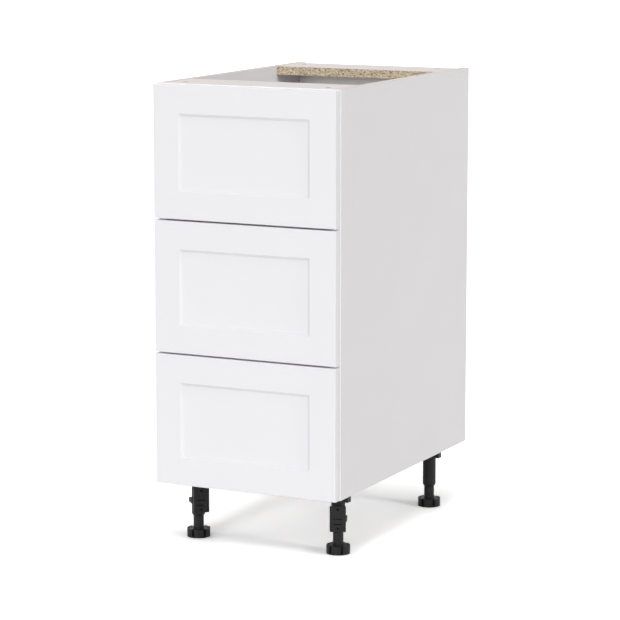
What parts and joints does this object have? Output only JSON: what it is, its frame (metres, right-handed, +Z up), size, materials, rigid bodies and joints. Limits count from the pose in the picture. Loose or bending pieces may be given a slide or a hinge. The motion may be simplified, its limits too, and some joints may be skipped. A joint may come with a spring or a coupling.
{
  "type": "base cabinet with drawers",
  "caption": "Narrow white kitchen base cabinet on adjustable black legs, with a stack of framed drawers that run on roller runners, open between its top rails.",
  "frame": {"origin": "on the floor, under the middle of the closed cabinet's bounding box", "axes": "+Z up, -Y towards the side with the drawer fronts, +X to the right of someone facing the fronts"},
  "size_m": [0.36, 0.5764, 0.834],
  "materials": {
    "white_board": "white melamine-faced particle board, raw along the top edges",
    "white_front": "satin white foil on fibreboard",
    "drawer_board": "white melamine-faced particle board",
    "back_board": "thin white-faced fibreboard",
    "white_steel": "white powder-coated sheet steel",
    "roller_nylon": "pale nylon",
    "black_plastic": "satin black plastic"
  },
  "bodies": {
    "cabinet": {"side_panel_left": "white_board", "side_panel_right": "white_board", "bottom_panel": "white_board", "front_top_rail": "white_board", "rear_top_rail": "white_board", "back_panel": "back_board", "runner_channel_lower_left": "white_steel", "runner_channel_lower_right": "white_steel", "runner_channel_middle_left": "white_steel", "runner_channel_middle_right": "white_steel", "runner_channel_upper_left": "white_steel", "runner_channel_upper_right": "white_steel", "leg_sockets": "black_plastic", "leg_tubes": "black_plastic"},
    "drawer_lower": {"drawer_front_lower": "white_front", "drawer_bottom_lower": "drawer_board", "drawer_back_lower": "drawer_board", "drawer_side_lower_left": "white_steel", "drawer_side_lower_right": "white_steel"},
    "channel_rollers_lower": {"channel_rollers_lower": "roller_nylon"},
    "drawer_rollers_lower": {"drawer_rollers_lower": "roller_nylon"},
    "drawer_middle": {"drawer_front_middle": "white_front", "drawer_bottom_middle": "drawer_board", "drawer_back_middle": "drawer_board", "drawer_side_middle_left": "white_steel", "drawer_side_middle_right": "white_steel"},
    "channel_rollers_middle": {"channel_rollers_middle": "roller_nylon"},
    "drawer_rollers_middle": {"drawer_rollers_middle": "roller_nylon"},
    "drawer_upper": {"drawer_front_upper": "white_front", "drawer_bottom_upper": "drawer_board", "drawer_back_upper": "drawer_board", "drawer_side_upper_left": "white_steel", "drawer_side_upper_right": "white_steel"},
    "channel_rollers_upper": {"channel_rollers_upper": "roller_nylon"},
    "drawer_rollers_upper": {"drawer_rollers_upper": "roller_nylon"},
    "foot_front_left": {"leg_foot_front_left": "black_plastic"},
    "foot_front_right": {"leg_foot_front_right": "black_plastic"},
    "foot_rear_left": {"leg_foot_rear_left": "black_plastic"},
    "foot_rear_right": {"leg_foot_rear_right": "black_plastic"},
    "plinth_clip_left": {"plinth_clip_left": "black_plastic", "plinth_plate_left": "black_plastic"},
    "plinth_clip_right": {"plinth_clip_right": "black_plastic", "plinth_plate_right": "black_plastic"}
  },
  "joints": [
    {"name": "drawer_slide_lower", "type": "slide", "parent": "cabinet", "child": "drawer_lower", "axis": [0, -1, 0], "range_m": [0, 0.375]},
    {"name": "drawer_slide_middle", "type": "slide", "parent": "cabinet", "child": "drawer_middle", "axis": [0, -1, 0], "range_m": [0, 0.375]},
    {"name": "drawer_slide_upper", "type": "slide", "parent": "cabinet", "child": "drawer_upper", "axis": [0, -1, 0], "range_m": [0, 0.375]},
    {"name": "channel_roller_spin_lower", "type": "hinge", "parent": "cabinet", "child": "channel_rollers_lower", "pos_m": [0, -0.24875, 0.1521], "axis": [1, 0, 0], "range_deg": [0, 2500]},
    {"name": "drawer_roller_spin_lower", "type": "hinge", "parent": "drawer_lower", "child": "drawer_rollers_lower", "pos_m": [0, 0.21375, 0.1521], "axis": [1, 0, 0], "range_deg": [0, 2500]},
    {"name": "channel_roller_spin_middle", "type": "hinge", "parent": "cabinet", "child": "channel_rollers_middle", "pos_m": [0, -0.24875, 0.39243], "axis": [1, 0, 0], "range_deg": [0, 2500]},
    {"name": "drawer_roller_spin_middle", "type": "hinge", "parent": "drawer_middle", "child": "drawer_rollers_middle", "pos_m": [0, 0.21375, 0.39243], "axis": [1, 0, 0], "range_deg": [0, 2500]},
    {"name": "channel_roller_spin_upper", "type": "hinge", "parent": "cabinet", "child": "channel_rollers_upper", "pos_m": [0, -0.24875, 0.63277], "axis": [1, 0, 0], "range_deg": [0, 2500]},
    {"name": "drawer_roller_spin_upper", "type": "hinge", "parent": "drawer_upper", "child": "drawer_rollers_upper", "pos_m": [0, 0.21375, 0.63277], "axis": [1, 0, 0], "range_deg": [0, 2500]},
    {"name": "foot_adjust_front_left", "type": "slide", "parent": "cabinet", "child": "foot_front_left", "axis": [0, 0, -1], "range_m": [-0.015, 0.015]},
    {"name": "foot_adjust_front_right", "type": "slide", "parent": "cabinet", "child": "foot_front_right", "axis": [0, 0, -1], "range_m": [-0.015, 0.015]},
    {"name": "foot_adjust_rear_left", "type": "slide", "parent": "cabinet", "child": "foot_rear_left", "axis": [0, 0, -1], "range_m": [-0.015, 0.015]},
    {"name": "foot_adjust_rear_right", "type": "slide", "parent": "cabinet", "child": "foot_rear_right", "axis": [0, 0, -1], "range_m": [-0.015, 0.015]},
    {"name": "plinth_clip_turn_left", "type": "hinge", "parent": "cabinet", "child": "plinth_clip_left", "pos_m": [-0.1415, -0.20075, 0], "axis": [0, 0, 1], "continuous": true},
    {"name": "plinth_clip_turn_right", "type": "hinge", "parent": "cabinet", "child": "plinth_clip_right", "pos_m": [0.1415, -0.20075, 0], "axis": [0, 0, 1], "continuous": true}
  ],
  "couplings": [
    {"joint": "channel_roller_spin_lower", "follows": "drawer_slide_lower", "rad_per_m": 116.28},
    {"joint": "drawer_roller_spin_lower", "follows": "drawer_slide_lower", "rad_per_m": 116.28},
    {"joint": "channel_roller_spin_middle", "follows": "drawer_slide_middle", "rad_per_m": 116.28},
    {"joint": "drawer_roller_spin_middle", "follows": "drawer_slide_middle", "rad_per_m": 116.28},
    {"joint": "channel_roller_spin_upper", "follows": "drawer_slide_upper", "rad_per_m": 116.28},
    {"joint": "drawer_roller_spin_upper", "follows": "drawer_slide_upper", "rad_per_m": 116.28}
  ]
}
